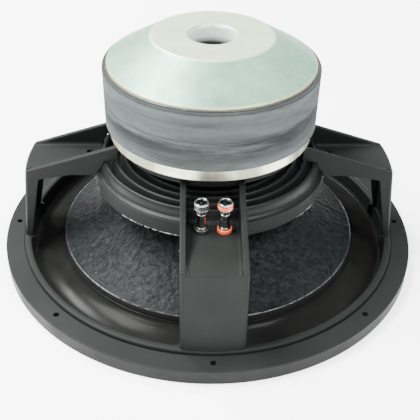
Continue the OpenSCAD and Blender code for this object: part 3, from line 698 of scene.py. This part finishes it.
def surround():
    """A half roll that bulges to the front: with t from 0 to 1 outwards, z = the straight line between its
    edges minus the roll's depth times sqrt(1 - (2t - 1)^2). Its front face is the same line a wall lower,
    with a flat land on each side."""
    inner = CONE_R + 0.8
    t = (1 - np.cos(np.linspace(0, math.pi, 64))) / 2
    r = inner + (ROLL_OUT - inner) * t
    z = (RIM_Z - 0.6) * (1 - t) + 4.1 * t - ROLL_DEPTH * np.sqrt(1 - (2 * t - 1) ** 2)
    rear = np.stack([r, z], -1)
    foot_r, foot_z = CONE_R - RIM_FOOT, RIM_Z - GLUE
    land_in = np.array([[foot_r, foot_z - 1.1], [foot_r, foot_z - 0.1], [foot_r + 0.2, foot_z],
                        [CONE_R - 2, foot_z], [CONE_R + 0.4, foot_z - 0.05]])
    land_out = np.array([[ROLL_OUT + 0.4, LAND_Z - 0.05], [ROLL_OUT + 3, LAND_Z], [LAND_R - 0.3, LAND_Z],
                         [LAND_R, LAND_Z - 0.15], [LAND_R, LAND_Z - 1.25], [LAND_R - 0.2, LAND_Z - 1.35],
                         [ROLL_OUT + 0.5, LAND_Z - 1.35]])
    profile = np.vstack([land_in, rear, land_out, rear[::-1] - [0, ROLL_T]])
    piece = finish(surface("surround_roll", revolve(profile, 256)), "rubber")
    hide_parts("surround")
    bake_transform(piece)
    follow_inwards(piece)


def spider():
    """Rolls of cloth: z = the middle height minus 5 mm times a cosine that turns once for each roll from
    collar to land, with its crests a little flattened by a power of 0.85. The cloth lies half its
    thickness to either side of that line, and has a glued edge on the basket's ring and a collar on the
    former. It sways slowly by a quarter of a millimetre."""
    around = 240
    t = np.linspace(0, 1, 22 * SPIDER_ROLLS + 1)
    r = SPIDER_IN + (SPIDER_OUT - SPIDER_IN) * t
    wave = np.cos(TURN * SPIDER_ROLLS * t)
    z = SPIDER_MID - SPIDER_WAVE * np.sign(wave) * np.abs(wave) ** 0.85
    line = np.stack([r, z], -1)
    slope = np.gradient(line, axis=0)
    half = SPIDER_T / 2 * np.stack([-slope[:, 1], slope[:, 0]], -1) / np.linalg.norm(slope, axis=1)[:, None]
    top, foot = RING_Z + GLUE + SPIDER_T, RING_Z + GLUE
    land = np.array([[SPIDER_OUT + 0.8, top], [SPIDER_EDGE - 0.2, top], [SPIDER_EDGE, top - 0.15],
                     [SPIDER_EDGE, foot + 0.1], [SPIDER_EDGE - 0.2, foot], [SPIDER_OUT + 0.8, foot]])
    collar = np.array([[FORMER_OUT + 1.2, SPIDER_MID - 5.9], [FORMER_OUT + GLUE, SPIDER_MID - 7],
                       [FORMER_OUT + GLUE, SPIDER_MID - 3], [FORMER_OUT + 1.0, SPIDER_MID - 4.2]])
    profile = np.vstack([line + half, land, (line - half)[::-1], collar])
    at = profile[:, 0]
    grid = revolve(profile, around)
    turn = np.arange(around)[None, :] / around
    sway = smooth((at - SPIDER_IN) / 8) * smooth((SPIDER_OUT - at) / 6)
    grid[..., 2] += 0.5 * (lattice_noise(turn, at[:, None] / RING_R, 9, 5, 31) - 0.5) * sway[:, None]
    piece = finish(surface("spider_rolls", grid), "spider_cloth")
    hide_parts("spider")
    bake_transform(piece)
    follow_inwards(piece)


paper_cone()
dust_cap()
surround()
spider()

# ---- Glue and edges ----

# Each ring: name, body, slot, finish, then the bead's radius, height, least and greatest thickness,
# lattice cells round it, seed and, where it is patchy, the share that it covers.
for name, body, slot, look, *shape in (
        ("cone_edge_lacquer", "cone_assembly", "paper_cone", "edge_lacquer",
         CONE_R - 1.0, RIM_TOP + 0.1, 0.35, 1.1, 300, 40, 0.62),
        ("neck_glue", "cone_assembly", "rubber", "dark_glue",
         FORMER_OUT + 1.0, NECK_Z + 0.1, 0.8, 1.7, 40, 43),
        ("spider_glue", "cone_assembly", "rubber", "dark_glue",
         FORMER_OUT + 0.8, SPIDER_MID - 3.2, 0.6, 1.2, 36, 45),
        ("dome_glue", "cone_assembly", "rubber", "dark_glue",
         DOME_R + 0.3, cone_z(DOME_R) - 2.6, 0.6, 1.1, 44, 47),
        ("seam_glue", "frame", "rubber", "dark_glue", 108.8, SEAM_Z, 0.4, 0.8, 30, 49),
        ("yoke_glue", "frame", "rubber", "dark_glue", 106.3, YOKE_Z + 0.4, 0.6, 1.25, 50, 53),
        ("ring_flash", "frame", "bare_aluminium", "worn_edge",
         RING_R - 0.6, 90.35, 0.1, 1.0, 260, 51, 0.4)):
    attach(finish(bead(name, *shape), slot, look), body)

# ---- Terminals ----

# Outline of cap and plunger as (radius, height above the trough), from the plunger's foot up its side, out
# under the head, up past the groove that holds the colour band, over the rim and into the dish.
CAP_PROFILE = [
    (0, 13), (2.4, 13), (2.85, 13.3), (2.95, 13.8), (2.95, 19), (2.95, 25.05), (3.2, 25.35), (4.2, 25.5),
    (6.2, 25.6), (6.9, 25.9), (7.2, 26.5), (7.2, 27.2), (7.0, 27.6), (6.2, 27.72), (6.2, 31.08), (7.0, 31.2),
    (7.2, 31.5), (7.2, 32.3), (7.15, 33.1), (6.8, 33.7), (6.2, 34), (5.6, 33.9), (5.2, 33.5), (5.0, 32.9),
    (4.4, 32.6), (2.2, 32.5), (1.4, 32.6), (1.0, 32.9), (0.5, 33.0), (0, 33.0)]


def push_cap(side, name):
    """A turned cap and plunger: a profile carried round the terminal's axis. Its radius shrinks by up to
    2.2 per cent in 36 flutes on the two rims, and by 2 per cent in 18 on the edge of the dish."""
    profile = np.array(CAP_PROFILE) + [0, TROUGH_Z]
    around = 144
    angle = np.arange(around) / around * TURN
    rim = (profile[:, 0] > 6.85).astype(float)[:, None]
    dish = ((profile[:, 0] > 4.9) & (profile[:, 1] > TROUGH_Z + 32.8)).astype(float)[:, None]
    flutes = 0.022 * rim * (0.5 + 0.5 * np.cos(36 * angle))
    notches = 0.02 * dish * (0.5 + 0.5 * np.cos(18 * angle))
    grid = revolve(profile, around)
    grid[..., :2] *= (1 - flutes - notches)[..., None]
    grid[..., 0] += side * TERMINAL_X
    grid[..., 1] += TERMINAL_Y
    piece = finish(surface("push_cap_" + name, grid, wrap=(False, True)), "bright_chrome", "push_chrome")
    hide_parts("terminal_cap_" + name)
    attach(piece, "push_cap_" + name)


def spring(side, name):
    """A round wire swept along a helix of four and a half turns. Its height rises as smooth() does, so
    that the coil is closed at both ends."""
    coil_r, wire_r, turns, height = 2.5, 0.3, 4.5, 6.1
    t = np.linspace(0, 1, 150)
    angle = TURN * turns * t
    path = np.stack([side * TERMINAL_X + coil_r * np.cos(angle), TERMINAL_Y + coil_r * np.sin(angle),
                     BARREL_FLOOR + wire_r + GLUE + height * smooth(t)], -1)
    wire = tube(path, wire_r, 10, (0.0, 0.0, 1.0))
    piece = finish(surface("spring_" + name, wire, wrap=(False, True)), "spring_steel")
    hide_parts("terminal_spring_" + name)
    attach(piece, "frame")
    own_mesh(piece)


# The right-hand lead's points, from the solder tab under the trough to the eyelet in the cone.
LEAD_ROUTE = ((11, -142.7, 93), (11.5, -142.7, 84), (15, -138, 74), (22, -125, 69), (28, -109, 68),
              (31, -101, 63), (31, -100, 59), (31, -100, 55.15))


def tinsel_lead(side, name):
    """A braided lead swept along a smooth curve through its route. Its radius is 0.9 mm plus 0.2 mm times
    the size of a cosine with six lobes, which turn as it goes."""
    path = smooth_line(LEAD_ROUTE, 14) * [side, 1, 1]
    sides = 24
    length = np.concatenate([[0], np.cumsum(np.linalg.norm(np.diff(path, axis=0), axis=1))])
    angle = np.arange(sides) / sides * TURN
    twist = length[:, None] * 0.55
    lobes = np.abs(np.cos(3 * (angle[None, :] + twist)))
    grid = tube(path, 0.9 + 0.2 * lobes, sides)
    piece = finish(surface("tinsel_braid_" + name, grid, wrap=(False, True)), "braid")
    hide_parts("tinsel_lead_" + name)
    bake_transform(piece)
    near = np.argmin(np.linalg.norm(places(piece)[:, None] - path[None], axis=2), axis=1)


for side, name in ((1, "pos"), (-1, "neg")):
    push_cap(side, name)
    spring(side, name)
    tinsel_lead(side, name)

# ---- Floor and light ----

FLOOR_HALF = 4       # in metres

floor_mesh = bpy.data.meshes.new("floor")
floor_corners = [(x * FLOOR_HALF, y * FLOOR_HALF, 0) for x, y in ((-1, -1), (1, -1), (1, 1), (-1, 1))]
floor_mesh.from_pydata(floor_corners, [], [(0, 1, 2, 3)])
floor = bpy.data.objects.new("floor", floor_mesh)
bpy.context.scene.collection.objects.link(floor)
paint = mottled("floor_paint", (0.9, 0.9, 0.9), (0.93, 0.93, 0.93), 300, (0.7, 0.8), 3, 0.01,
                Emission_Color=(1, 1, 1, 1), Emission_Strength=2.0)
floor_mesh.materials.append(paint)

world = bpy.data.worlds.new("studio")
world.use_nodes = True
sky = world.node_tree.nodes["Background"]
sky.inputs["Color"].default_value = (0.97, 0.99, 1, 1)
sky.inputs["Strength"].default_value = 1.6
bpy.context.scene.world = world


def softbox(name, at, to, size, power, colour=(1, 1, 1)):
    """A square area light aimed at a point."""
    data = bpy.data.lights.new(name, "AREA")
    data.size = size
    data.energy = power
    data.color = colour
    lamp = bpy.data.objects.new(name, data)
    lamp.location = at
    lamp.rotation_euler = (Vector(to) - Vector(at)).to_track_quat("-Z", "Y").to_euler()
    bpy.context.scene.collection.objects.link(lamp)


softbox("top_light", (-1.4, 0.2, 2.5), (0, 0, 0), 1.1, 260)
softbox("back_light", (-1.0, 1.1, 1.8), (0, 0, 0), 0.4, 70)
softbox("left_light", (-1.3, -0.7, 1.7), (0, 0, 0.2), 0.7, 60, (1.0, 1.0, 0.98))
softbox("right_light", (1.1, -1.1, 2.1), (0, 0, 0), 0.8, 70)
